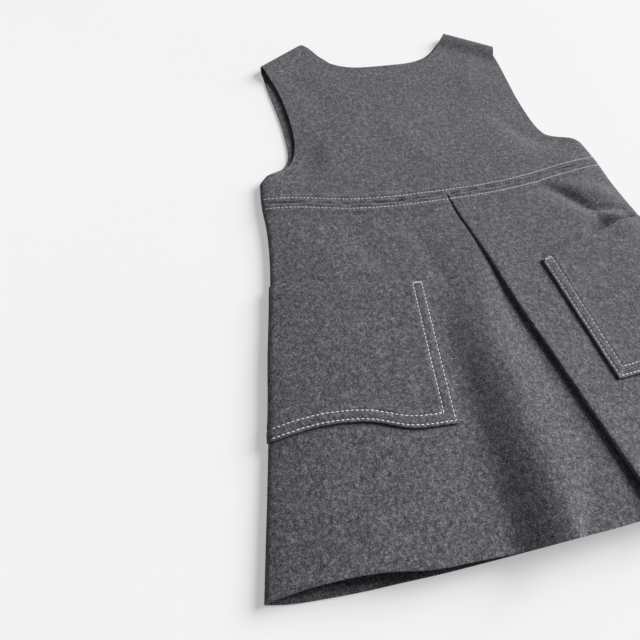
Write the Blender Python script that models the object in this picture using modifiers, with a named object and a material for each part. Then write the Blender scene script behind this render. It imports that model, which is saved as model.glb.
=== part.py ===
"""A child's pinafore dress of wool cloth, laid flat on its back.

The dress is cut in seven pieces: a front bodice, two half back bodices that meet
at the centre back, a front skirt with an inverted pleat, a back skirt and two patch
pockets. Each piece is a grid of points worked out from the cut, given the cloth's
thickness by Solidify.

Sizes are in millimetres until a point is placed. Across is +X, up to the neck is +Y
and +Z is up from the surface that the dress lies on. Heights along the dress count
from the two ends of the waist seam.
"""
import math
from collections import namedtuple

import bmesh
import bpy
from mathutils import Vector

NAME = "pinafore_dress"
MM = 0.001

CLOTH = 1.4                 # thickness of the wool cloth
GAP = 0.3                   # free space at a seam
WAIST_ABOVE_CENTRE = 42.5   # the waist's ends lie this far above the middle of the length

BACK_LEVEL = CLOTH / 2      # middle of the back's cloth, lying on the surface
FRONT_LEVEL = 6.8           # middle of the front's cloth
SEAM_LEVEL = (BACK_LEVEL + FRONT_LEVEL) / 2
ROLL = 3.0                  # how far in from a side or shoulder the cloth rolls over
UNDERLAY_LEVEL = 2.7        # middle of the pleat's lowest layer
FOLD_STEP = 2.0             # from the middle of one pressed layer to the next
POCKET_LIFT = CLOTH + GAP   # pocket's middle above the panel's middle
HEM_DEPTH = 285.0           # waist ends to the hem near the centre
WAIST_DIP = 16.5            # the waist seam's lowest point below its ends

Point = namedtuple("Point", "x y")
Pleat = namedtuple("Pleat", "y ridge ridge_rise reach fold fold_rise inner")
Rise = namedtuple("Rise", "across at_hem")
PocketEdge = namedtuple("PocketEdge", "share top_x top_y base_x base_y")

NECK_TIP = Point(79.0, 202.0)
SHOULDER_TIP = Point(123.0, 174.0)
UNDERARM = Point(150.5, 22.5)

FRONT_NECK = (Point(-79.0, 202.0), Point(-69.0, 193.5), Point(-60.0, 181.5), Point(-50.0, 168.0),
              Point(-37.0, 160.5), Point(-20.0, 158.8), Point(0.0, 158.3), Point(20.0, 158.8),
              Point(37.0, 162.0), Point(50.0, 169.5), Point(62.0, 181.5), Point(71.5, 193.5),
              Point(79.0, 202.0))
BACK_NECK = (Point(-79.0, 202.0), Point(-69.0, 193.0), Point(-58.0, 181.0), Point(-45.0, 171.5),
             Point(-28.0, 166.5), Point(0.0, 165.5))
FRONT_ARMHOLE = (Point(150.5, 22.5), Point(144.0, 29.5), Point(132.0, 35.5), Point(121.5, 42.5),
                 Point(115.0, 55.0), Point(111.5, 72.0), Point(110.5, 97.0), Point(111.5, 122.0),
                 Point(115.5, 150.0), Point(123.0, 174.0))
BACK_ARMHOLE = (Point(150.5, 22.5), Point(144.5, 29.5), Point(134.0, 36.0), Point(125.0, 44.0),
                Point(120.5, 56.0), Point(119.0, 75.0), Point(119.0, 98.0), Point(120.5, 122.0),
                Point(122.5, 150.0), Point(123.0, 174.0))
SIDE = (Point(203.0, -285.0), Point(196.8, -256.0), Point(187.8, -214.0), Point(177.6, -164.0),
        Point(171.0, -129.0), Point(163.0, -90.0), Point(157.0, -57.0), Point(153.6, -26.0),
        Point(153.0, 0.0), Point(150.5, 22.5))
WAIST_SEAM = (Point(-153.0, 0.0), Point(-128.0, -3.0), Point(-105.0, -8.0), Point(-83.0, -12.5),
              Point(-55.0, -15.5), Point(-25.0, -16.5), Point(15.0, -16.5), Point(50.0, -15.0),
              Point(80.0, -11.5), Point(110.0, -6.0), Point(153.0, 0.0))

# The hem's height at a distance from the centre: the front's rises over the sides sooner
# than the back's.
FRONT_HEM = (Point(0.0, -286.5), Point(30.0, -286.0), Point(56.0, -285.6), Point(86.0, -284.0),
             Point(100.0, -283.4), Point(115.0, -281.5), Point(129.0, -278.6),
             Point(143.0, -276.8), Point(160.0, -275.8), Point(180.0, -275.8),
             Point(203.0, -277.5))
BACK_HEM = (Point(0.0, -286.5), Point(65.0, -286.2), Point(102.0, -285.7), Point(126.0, -284.8),
            Point(144.0, -284.2), Point(161.0, -283.2), Point(183.0, -281.4),
            Point(192.0, -280.2), Point(203.0, -278.0))

# The pleat down the skirt. Its right fold stays crisp and lifts towards the hem, its left
# fold opens into a soft ridge that drops to the underlay, and its inner fold lies hidden
# under the right panel. "reach" is how far the left fold's cloth runs on to the underlay:
# below zero it is tucked back under the left panel.
PLEAT = (Pleat(-16.5, -0.6, 0.0, -14.0, 1.0, 0.0, 27.0),
         Pleat(-35.0, 0.2, 0.0, -3.0, 2.4, 0.3, 29.0),
         Pleat(-60.0, 2.0, 0.0, 11.0, 5.6, 0.9, 33.0),
         Pleat(-90.0, 0.5, 0.5, 15.0, 9.4, 1.6, 37.0),
         Pleat(-130.0, -14.0, 2.8, 26.0, 12.6, 2.4, 41.0),
         Pleat(-179.0, -19.0, 5.4, 34.0, 19.0, 3.4, 47.0),
         Pleat(-224.0, -22.0, 6.8, 38.0, 24.4, 4.6, 53.0),
         Pleat(-265.0, -23.5, 7.6, 26.0, 30.2, 5.4, 58.0),
         Pleat(-290.0, -24.0, 8.0, 5.0, 33.8, 5.8, 62.0))

# How high the skirt's front stands above its level at the hem, across each panel, as a
# share of the way from the pleat to the side.
LEFT_RISE = (Rise(0.0, 0.0), Rise(0.10, -0.8), Rise(0.20, -2.4), Rise(0.30, -1.6),
             Rise(0.50, 0.6), Rise(0.74, 1.6), Rise(0.90, 0.4), Rise(1.0, 0.0))
RIGHT_RISE = (Rise(0.0, 0.0), Rise(0.12, 0.0), Rise(0.28, 0.2), Rise(0.46, 0.8),
              Rise(0.64, 1.6), Rise(0.80, 2.0), Rise(0.92, 0.8), Rise(1.0, 0.0))
TENT_RISE = 7.0             # how high the whole front lifts at the hem's centre
RISE_POWER = 0.9            # the rise grows with this power of the way down the skirt
RIDGE_SPAN = (0.0, 0.20)   # the left ridge falls away between these shares of its panel
FOLD_POWER = 4              # how quickly the right fold settles into its panel
UNDERLAY_RISES = (0.92, 0.45)   # how much of the right fold's rise its underlay's ends share
SOFT_REACH = 10.0           # an opened fold that reaches this far is one soft slope

POCKETS = {
    "pocket_left": (PocketEdge(0.0, 49.3, -97.6, 63.3, -206.5),
                    PocketEdge(0.25, 77.0, -93.8, 91.0, -203.8),
                    PocketEdge(0.5, 105.0, -88.8, 118.0, -193.5),
                    PocketEdge(0.75, 133.0, -83.0, 148.0, -190.0),
                    PocketEdge(1.0, 157.0, -78.8, 178.0, -192.5)),
    "pocket_right": (PocketEdge(0.0, 48.5, -97.0, 54.5, -201.5),
                     PocketEdge(0.25, 76.0, -88.5, 80.0, -199.8),
                     PocketEdge(0.5, 104.0, -80.3, 110.0, -196.0),
                     PocketEdge(0.75, 131.0, -72.5, 144.0, -193.0),
                     PocketEdge(1.0, 156.0, -67.5, 178.0, -192.5)),
}

SKIRT_ROWS = 9
BODICE_ROWS = 6
BACK_COLUMNS = 20
POCKET_ROWS = 6
POCKET_COLUMNS = 6
ARMHOLE_STEPS = 10
NECK_STEPS = 12
ROLL_ANGLES = (0.0, 30.0, 60.0, 90.0)
PANEL_SHARES = (0.90, 0.74, 0.62, 0.50, 0.38, 0.28, 0.18, 0.08)
FOLD_ANGLES = (90.0, 45.0, 0.0, -45.0, -90.0)
SHORT_COLUMN = 60.0         # the end rows close up on a column shorter than this
STRAP_FEET = (46.0, 30.0)   # where the columns under a shoulder's two tips meet the waist
FEET_POWER = 1.6            # how the feet under the armhole crowd towards the centre

WOOL = (0.122, 0.122, 0.135, 1.0)
WOOL_ROUGHNESS = 0.95


def smooth_value(rows, key, column, at):
    """Read a column of a table at a key, on a smooth curve through the rows."""
    pairs = sorted((getattr(row, key), getattr(row, column)) for row in rows)
    last = len(pairs) - 1
    at = min(max(at, pairs[0][0]), pairs[-1][0])
    span = max(i for i in range(last) if pairs[i][0] <= at)

    def slope(i):
        (low_key, low), (high_key, high) = pairs[max(i - 1, 0)], pairs[min(i + 1, last)]
        return (high - low) / (high_key - low_key)

    width = pairs[span + 1][0] - pairs[span][0]
    t = (at - pairs[span][0]) / width
    ease = t * t * (3 - 2 * t)
    lean = t * (1 - t) * width * ((1 - t) * slope(span) - t * slope(span + 1))
    return pairs[span][1] * (1 - ease) + pairs[span + 1][1] * ease + lean


def along(points, steps):
    """Points at even steps of length along a smooth curve through the given points."""
    Station = namedtuple("Station", "length x y")
    rows = [Station(0.0, points[0].x, points[0].y)]
    for a, b in zip(points, points[1:]):
        rows.append(Station(rows[-1].length + math.dist(a, b), b.x, b.y))
    stops = [rows[-1].length * i / steps for i in range(steps + 1)]
    return [Point(smooth_value(rows, "length", "x", s), smooth_value(rows, "length", "y", s))
            for s in stops]


def between(start, end, steps):
    """Even values from a start to an end, both included."""
    return [start + (end - start) * i / steps for i in range(steps + 1)]


def side_x(y):
    """Half of the dress's width at a height."""
    return smooth_value(SIDE, "y", "x", y)


def waist_y(x):
    """Height of the waist seam at a place across."""
    return smooth_value(WAIST_SEAM, "x", "y", x)


def hem_y(hem, x):
    """Height of the front's or the back's hem at a place across."""
    return smooth_value(hem, "x", "y", abs(x))


def roll_insets():
    """Distances in from a rolled seam that turn the quarter circle by the roll's angles."""
    return [ROLL * (1 - math.cos(math.radians(angle))) for angle in ROLL_ANGLES]


def roll(distance):
    """0 at a rolled seam, 1 where the cloth lies level again, on a quarter circle between."""
    left = 1 - min(max(distance / ROLL, 0.0), 1.0)
    return math.sqrt(1 - left * left)


def seam_edge(level):
    """Height of a piece's edge at a side or shoulder seam, for a piece lying at a level.

    The roll's first facet leans by half its angle, and tips the cut edge by that much.
    """
    tip = CLOTH / 2 * math.sin(math.radians(ROLL_ANGLES[1] / 2))
    return SEAM_LEVEL + math.copysign(GAP / 2 + tip, level - SEAM_LEVEL)


def below_shoulder(x, y):
    """Distance of a point below the shoulder's line."""
    run, fall = SHOULDER_TIP.x - NECK_TIP.x, NECK_TIP.y - SHOULDER_TIP.y
    return ((NECK_TIP.y - y) * run - (abs(x) - NECK_TIP.x) * fall) / math.hypot(run, fall)


def eased(span, value):
    """0 before a span and 1 after it, eased between."""
    t = min(max((value - span[0]) / (span[1] - span[0]), 0.0), 1.0)
    return t * t * (3 - 2 * t)


def bodice_point(x, y, level):
    """A point of a bodice panel that lies at a level and rolls at its side and shoulder."""
    flat = roll(side_x(y) - abs(x)) * roll(below_shoulder(x, y))
    edge = seam_edge(level)
    return Vector((x, y, edge + (level - edge) * flat))


def strap_columns(armhole):
    """The right side's columns: each one's upper point and its foot across the waist.

    They run from the side seam round the armhole to the shoulder's outer tip, and then
    along the shoulder to the neck. Their feet crowd towards the centre, so that no column
    runs along the armhole's edge.
    """
    insets = roll_insets()
    rise = (armhole[1].y - armhole[0].y) / (armhole[0].x - armhole[1].x)
    corner = [Point(UNDERARM.x - inset, UNDERARM.y + inset * rise) for inset in insets]
    curve = corner[:-1] + along((corner[-1],) + tuple(armhole[1:]), ARMHOLE_STEPS)
    feet = [side_x(0.0) - inset for inset in insets]
    reach = STRAP_FEET[0] - feet[-1]
    feet += [feet[-1] + reach * (1 - (1 - share) ** FEET_POWER)
             for share in between(0.0, 1.0, ARMHOLE_STEPS)[1:]]
    shoulder = [Point(x, y) for x, y in zip(between(SHOULDER_TIP.x, NECK_TIP.x, 3),
                                            between(SHOULDER_TIP.y, NECK_TIP.y, 3))]
    feet += between(STRAP_FEET[0], STRAP_FEET[1], 3)[1:]
    return list(zip(curve + shoulder[1:], feet))


def bodice_grid(columns, level):
    """Columns of points from the waist seam up to the panel's upper edge.

    A column leaves the waist straight up and curves outwards on its way.
    """
    insets = roll_insets()[1:]
    grid = []
    for top, foot in columns:
        low = Point(foot, waist_y(foot) + GAP / 2)
        start, end = low.x / side_x(low.y), top.x / side_x(top.y)
        length = math.dist(top, low)
        ends = [inset * min(1.0, length / SHORT_COLUMN) / length for inset in insets]
        column = []
        for share in between(0.0, 1 - ends[-1], BODICE_ROWS) + [1 - ends[1], 1 - ends[0], 1.0]:
            y = low.y + (top.y - low.y) * share
            x = side_x(y) * (start + (end - start) * share * share)
            column.append(bodice_point(x, y, level))
        grid.append(column)
    return grid


def mirrored(columns):
    """The same columns on the other side of the centre, in the same order."""
    return [(Point(-top.x, top.y), -foot) for top, foot in columns]


def front_bodice_grid():
    """The front bodice, from its left side seam round to its right one."""
    right = strap_columns(FRONT_ARMHOLE)
    neck = list(zip(along(FRONT_NECK, NECK_STEPS),
                    between(-STRAP_FEET[1], STRAP_FEET[1], NECK_STEPS)))
    return bodice_grid(mirrored(right) + neck[1:-1] + right[::-1], FRONT_LEVEL)


def back_bodice_grid(sign):
    """Half of the back bodice, from its side seam to the centre back seam."""
    half_neck = BACK_NECK[:-1] + (Point(-GAP / 2, BACK_NECK[-1].y),)
    neck = list(zip(along(half_neck, NECK_STEPS // 2),
                    between(-STRAP_FEET[1], -GAP / 2, NECK_STEPS // 2)))
    columns = mirrored(strap_columns(BACK_ARMHOLE)) + neck[1:]
    if sign > 0:
        columns = mirrored(columns)[::-1]
    return bodice_grid(columns, BACK_LEVEL)


def pleat(column, y):
    """Read the pleat's table at a height."""
    return smooth_value(PLEAT, "y", column, y)


def way_down(y):
    """0 at the waist and 1 at the hem."""
    return min(max((-WAIST_DIP - y) / (HEM_DEPTH - WAIST_DIP), 0.0), 1.0)


def tent(x, y):
    """How far the skirt's front is lifted off its back at a place, in all its layers."""
    return TENT_RISE * way_down(y) * (1 - min(abs(x) / side_x(y), 1.0) ** 2)


def panel_span(sign, y):
    """Across from the pleat's edge to the start of the side's roll, on the left or right."""
    if sign < 0:
        return pleat("ridge", y) - FOLD_STEP / 2, ROLL - side_x(y)
    return pleat("fold", y) + FOLD_STEP / 2, side_x(y) - ROLL


def panel_level(sign, share, y):
    """Height of a skirt panel at a share of its width from the pleat."""
    rise = smooth_value(LEFT_RISE if sign < 0 else RIGHT_RISE, "across", "at_hem", share)
    if sign < 0:
        edge = pleat("ridge_rise", y) * (1 - eased(RIDGE_SPAN, share))
    else:
        edge = pleat("fold_rise", y) * (1 - share) ** FOLD_POWER
    return FRONT_LEVEL + rise * way_down(y) ** RISE_POWER + edge


def panel_point(sign, x, y):
    """A point of the skirt's left or right front panel, at a place across and a height."""
    start, end = panel_span(sign, y)
    return Vector((x, y, panel_level(sign, (x - start) / (end - start), y) + tent(x, y)))


def roll_point(sign, angle, y):
    """A point of a skirt panel's roll at the side: 0 degrees at the seam, 90 on the panel."""
    edge = seam_edge(FRONT_LEVEL)
    height = math.sin(math.radians(angle)) * (panel_level(sign, 1.0, y) - edge)
    x = sign * (side_x(y) - ROLL * (1 - math.cos(math.radians(angle))))
    return Vector((x, y, edge + height + tent(x, y)))


def lifted(x, y, z):
    """A point of the pleat, lifted with the front."""
    return Vector((x, y, z + tent(x, y)))


def turn(x, z, radius, angles, y):
    """Points round a fold about a centre, at a height of the skirt."""
    return [lifted(x + radius * math.cos(math.radians(a)), y, z + radius * math.sin(math.radians(a)))
            for a in angles]


def left_fold(y):
    """The left fold and its cloth down to the underlay, tucked back under or opened out.

    The cloth turns over by as much as it turns back, on two arcs that share its fall. An
    opened fold's arcs soften into one slope.
    """
    top = FRONT_LEVEL + pleat("ridge_rise", y)
    base = UNDERLAY_LEVEL + pleat("fold_rise", y) * UNDERLAY_RISES[0]
    start, reach = pleat("ridge", y) - FOLD_STEP / 2, pleat("reach", y)
    radius = (top - base) / 4
    sweep = math.degrees(2 * math.atan2(2 * radius, max(reach, 0.0)))
    shares = between(0.0, 1.0, len(FOLD_ANGLES) - 1)
    points = turn(start, top - radius, radius, [90 - sweep * share for share in shares], y)
    points += turn(start + reach, base + radius, radius,
                   [270 - sweep * (1 - share) for share in shares], y)
    slope = [lifted(start + reach * share, y,
                    top - (top - base) * share * share * (3 - 2 * share))
             for share in between(0.0, 1.0, len(points) - 1)]
    soft = min(max(reach / SOFT_REACH, 0.0), 1.0)
    return [a.lerp(b, soft) for a, b in zip(points, slope)]


def right_fold(y):
    """The inner fold, its return and the right fold's crisp edge."""
    radius = FOLD_STEP / 2
    inner, fold = pleat("inner", y), pleat("fold", y)
    top = FRONT_LEVEL + pleat("fold_rise", y)
    base = UNDERLAY_LEVEL + pleat("fold_rise", y) * UNDERLAY_RISES[1]
    points = turn(inner - radius, base + radius, radius, [-a for a in FOLD_ANGLES], y)
    low, high = points[-1], lifted(fold + radius, y, top - FOLD_STEP)
    points += [low.lerp(high, 1 / 3), low.lerp(high, 2 / 3)]
    return points + turn(fold + radius, top - radius, -radius, FOLD_ANGLES, y)


def skirt_front_row(y):
    """One row of the front skirt, from its left side seam to its right one."""
    row = [roll_point(-1, angle, y) for angle in ROLL_ANGLES]
    start, end = panel_span(-1, y)
    row += [panel_point(-1, start + (end - start) * share, y) for share in PANEL_SHARES]
    row += left_fold(y)
    right = right_fold(y)
    row += [row[-1].lerp(right[0], share) for share in (1 / 3, 2 / 3)] + right
    start, end = panel_span(1, y)
    row += [panel_point(1, start + (end - start) * share, y) for share in PANEL_SHARES[::-1]]
    return row + [roll_point(1, angle, y) for angle in ROLL_ANGLES[::-1]]


def skirt_front_grid():
    """The front skirt: each column runs from the waist seam down to the hem."""
    rows = []
    for share in between(0.0, 1.0, SKIRT_ROWS):
        level = skirt_front_row(-WAIST_DIP - (HEM_DEPTH - WAIST_DIP) * share)
        rows.append([skirt_front_row(waist_y(p.x) - GAP / 2
                                     + (hem_y(FRONT_HEM, p.x) - waist_y(p.x) + GAP / 2) * share)[i]
                     for i, p in enumerate(level)])
    return [list(column) for column in zip(*rows)]


def skirt_back_grid():
    """The back skirt, flat on the surface and rolled up to its side seams."""
    edge = seam_edge(BACK_LEVEL)
    grid = []
    angles = [math.radians(angle) for angle in ROLL_ANGLES]
    left = [(-1, ROLL * (1 - math.cos(a)), edge + (BACK_LEVEL - edge) * math.sin(a)) for a in angles]
    middle = [(share, ROLL, BACK_LEVEL) for share in between(-1.0, 1.0, BACK_COLUMNS)[1:-1]]
    for place, inset, height in left + middle + [(1, b, c) for _, b, c in left[::-1]]:
        column = []
        for share in between(0.0, 1.0, SKIRT_ROWS):
            x = place * (side_x(-HEM_DEPTH * share) - inset)
            top, base = waist_y(x) - GAP / 2, hem_y(BACK_HEM, x)
            y = top + (base - top) * share
            column.append(Vector((place * (side_x(y) - inset), y, height)))
        grid.append(column)
    return grid


def outward(sign, place, y, point_of):
    """The direction away from a panel's face, from its slopes across and down."""
    step = 0.5
    across = point_of(sign, place + step, y) - point_of(sign, place - step, y)
    down = point_of(sign, place, y + step) - point_of(sign, place, y - step)
    face = across.cross(down).normalized()
    return face if face.z * 4 + face.x * sign > 0 else -face


def pocket_grid(name, sign):
    """A patch pocket: its panel's points moved out, rolled with the panel at the side."""
    edges = POCKETS[name]
    grid = []
    for share in between(0.0, 1.0, POCKET_COLUMNS):
        top = Point(*(smooth_value(edges, "share", c, share) for c in ("top_x", "top_y")))
        base = Point(*(smooth_value(edges, "share", c, share) for c in ("base_x", "base_y")))
        column = []
        for down in between(0.0, 1.0, POCKET_ROWS):
            y = top.y + (base.y - top.y) * down
            x = sign * (top.x + (base.x - top.x) * down)
            if share == 1.0:
                x = panel_span(sign, y)[1]
            face = outward(sign, x, y, panel_point)
            column.append(panel_point(sign, x, y) + face * POCKET_LIFT)
        grid.append(column)
    for angle in ROLL_ANGLES[-2::-1]:
        column = []
        for flat in grid[POCKET_COLUMNS]:
            face = outward(sign, angle, flat.y, roll_point)
            column.append(roll_point(sign, angle, flat.y) + face * POCKET_LIFT)
        grid.append(column)
    return grid


def wool():
    """A plain stand-in for the grey wool."""
    material = bpy.data.materials.new("wool")
    material.use_nodes = True
    shader = material.node_tree.nodes["Principled BSDF"]
    shader.inputs["Base Color"].default_value = WOOL
    shader.inputs["Roughness"].default_value = WOOL_ROUGHNESS
    shader.inputs["Metallic"].default_value = 0.0
    return material


def cloth_piece(name, grid, collection):
    """A cloth piece of even thickness, whose middle surface passes through a grid of points."""
    columns, rows = len(grid) - 1, len(grid[0]) - 1
    shape = bmesh.new()
    bmesh.ops.create_grid(shape, x_segments=columns, y_segments=rows, size=1.0)
    for corner in shape.verts:
        column = round((corner.co.x + 1) / 2 * columns)
        row = round((corner.co.y + 1) / 2 * rows)
        place = grid[column][row]
        corner.co = Vector((place.x, place.y + WAIST_ABOVE_CENTRE, place.z)) * MM
    mesh = bpy.data.meshes.new(name)
    shape.to_mesh(mesh)
    shape.free()
    mesh.materials.append(wool())
    piece = bpy.data.objects.new(name, mesh)
    collection.objects.link(piece)
    wall = piece.modifiers.new("cloth", "SOLIDIFY")
    wall.thickness = CLOTH * MM
    wall.offset = 0.0
    wall.use_even_offset = True
    return piece


def build():
    """Clear the scene and make the dress's seven pieces."""
    for old in list(bpy.data.objects):
        bpy.data.objects.remove(old, do_unlink=True)
    collection = bpy.data.collections.new(NAME)
    bpy.context.scene.collection.children.link(collection)
    cloth_piece("bodice_front", front_bodice_grid(), collection)
    cloth_piece("bodice_back_left", back_bodice_grid(-1), collection)
    cloth_piece("bodice_back_right", back_bodice_grid(1), collection)
    cloth_piece("skirt_front", skirt_front_grid(), collection)
    cloth_piece("skirt_back", skirt_back_grid(), collection)
    cloth_piece("pocket_left", pocket_grid("pocket_left", -1), collection)
    cloth_piece("pocket_right", pocket_grid("pocket_right", 1), collection)


build()
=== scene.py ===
"""The looks of a child's pinafore dress of grey melange wool, laid flat on its back.

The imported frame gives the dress's box and its nodes. Every cloth panel is a fine grid
shaped by the same cut as its solid, with the folds and creases of worn wool, a wall of
cloth and rounded edges. Topstitching and bar tacks lie on the panels.

Sizes are in millimetres on the dress until a mesh is finished. Heights along the dress
count from the two ends of the waist seam.
"""
import logging
import math
import random
from bisect import bisect_right
from dataclasses import dataclass
from enum import Enum
from typing import Callable, NamedTuple, Sequence

import bmesh
import bpy
from mathutils import Matrix, Quaternion, Vector, noise


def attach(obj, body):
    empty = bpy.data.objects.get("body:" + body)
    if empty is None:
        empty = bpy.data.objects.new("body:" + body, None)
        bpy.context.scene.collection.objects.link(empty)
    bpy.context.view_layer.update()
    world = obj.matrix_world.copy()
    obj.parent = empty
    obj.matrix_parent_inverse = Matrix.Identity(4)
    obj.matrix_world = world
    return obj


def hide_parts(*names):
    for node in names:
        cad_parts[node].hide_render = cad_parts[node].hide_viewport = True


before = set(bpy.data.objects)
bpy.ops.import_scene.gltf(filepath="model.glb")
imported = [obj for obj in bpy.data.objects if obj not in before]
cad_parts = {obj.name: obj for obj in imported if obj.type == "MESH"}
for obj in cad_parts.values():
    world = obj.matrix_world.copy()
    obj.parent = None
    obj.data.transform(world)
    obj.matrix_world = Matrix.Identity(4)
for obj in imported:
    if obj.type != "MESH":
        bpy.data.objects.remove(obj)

MM = 0.001
Colour = tuple[float, float, float, float]
ROOT = "root"
LOG = logging.getLogger("pinafore")


class Side(Enum):
    """The viewer's left or right half of the dress, as the sign of X there."""

    LEFT = -1
    RIGHT = 1


class Point(NamedTuple):
    """A place on the flat dress, in millimetres."""

    x: float
    y: float


class PleatRow(NamedTuple):
    """How the pleat lies at one height: where its folds are and how far they lift."""

    y: float
    ridge: float
    ridge_rise: float
    reach: float
    fold: float
    fold_rise: float
    inner: float


class RiseRow(NamedTuple):
    """How high a skirt panel stands at the hem, at a share of its width."""

    across: float
    at_hem: float


class PocketRow(NamedTuple):
    """The top and base of a pocket at a share of its width from the inner edge."""

    share: float
    top_x: float
    top_y: float
    base_x: float
    base_y: float


class SmoothTable:
    """A smooth curve through the rows of a short table, read by a named column."""

    def __init__(self, rows: Sequence[NamedTuple], key: str) -> None:
        """Sort the rows by their key column.

        Args:
            rows: the table's rows, all of one kind.
            key: the column that the curve is read by.
        """
        self.rows = sorted(rows, key=lambda row: getattr(row, key))
        self.keys = [getattr(row, key) for row in self.rows]
        self.curves: dict[str, tuple[list[float], list[float]]] = {}

    def curve(self, column: str) -> tuple[list[float], list[float]]:
        """The values and slopes of a column, worked out once."""
        if column not in self.curves:
            values = [getattr(row, column) for row in self.rows]
            last = len(values) - 1
            slopes = []
            for i in range(last + 1):
                low, high = max(i - 1, 0), min(i + 1, last)
                slopes.append((values[high] - values[low]) / (self.keys[high] - self.keys[low]))
            self.curves[column] = (values, slopes)
        return self.curves[column]

    def at(self, column: str, key: float) -> float:
        """Read a column at a key; beyond the ends it keeps the end's value."""
        values, slopes = self.curve(column)
        key = min(max(key, self.keys[0]), self.keys[-1])
        span = min(max(bisect_right(self.keys, key) - 1, 0), len(self.keys) - 2)
        width = self.keys[span + 1] - self.keys[span]
        t = (key - self.keys[span]) / width
        ease = t * t * (3 - 2 * t)
        lean = t * (1 - t) * width * ((1 - t) * slopes[span] - t * slopes[span + 1])
        return values[span] * (1 - ease) + values[span + 1] * ease + lean


class Station(NamedTuple):
    """A point on an outline and its length along it."""

    length: float
    x: float
    y: float


def smoothstep(low: float, high: float, value: float) -> float:
    """0 below low, 1 above high, eased between."""
    t = min(max((value - low) / (high - low), 0.0), 1.0)
    return t * t * (3 - 2 * t)


def between(start: float, end: float, steps: int) -> list[float]:
    """Even values from start to end, both included."""
    return [start + (end - start) * i / steps for i in range(steps + 1)]


def along(points: Sequence[Point], steps: int) -> list[Point]:
    """Points at even steps of length along a smooth curve through the given points.

    Args:
        points: the outline's own points, in order.
        steps: how many steps to take.

    Returns:
        One point more than there are steps.
    """
    stations = [Station(0.0, *points[0])]
    for a, b in zip(points, points[1:]):
        stations.append(Station(stations[-1].length + math.dist(a, b), *b))
    table = SmoothTable(stations, "length")
    return [Point(table.at("x", s), table.at("y", s))
            for s in between(0.0, stations[-1].length, steps)]


@dataclass(frozen=True)
class Crease:
    """A soft trough or ridge pressed into the cloth, from one place to another."""

    start: Point
    end: Point
    width: float
    height: float
    bow: float = 0.0
    lean: float = 0.0

    def rise(self, x: float, y: float) -> float:
        """How far the cloth is lifted (or sunk, below zero) at a place."""
        run_x, run_y = self.end.x - self.start.x, self.end.y - self.start.y
        length = math.hypot(run_x, run_y)
        off_x, off_y = x - self.start.x, y - self.start.y
        share = (off_x * run_x + off_y * run_y) / (length * length)
        if not -0.25 < share < 1.25:
            return 0.0
        aside = (off_x * run_y - off_y * run_x) / length
        aside -= self.bow * 4 * share * (1 - share)
        if abs(aside) > 4 * self.width:
            return 0.0
        fade = smoothstep(-0.25, 0.35, share) * (1 - smoothstep(0.65, 1.25, share))
        width = self.width * (1 + self.lean * (1 if aside > 0 else -1))
        return self.height * fade * math.exp(-(aside / width) ** 2)


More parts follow.
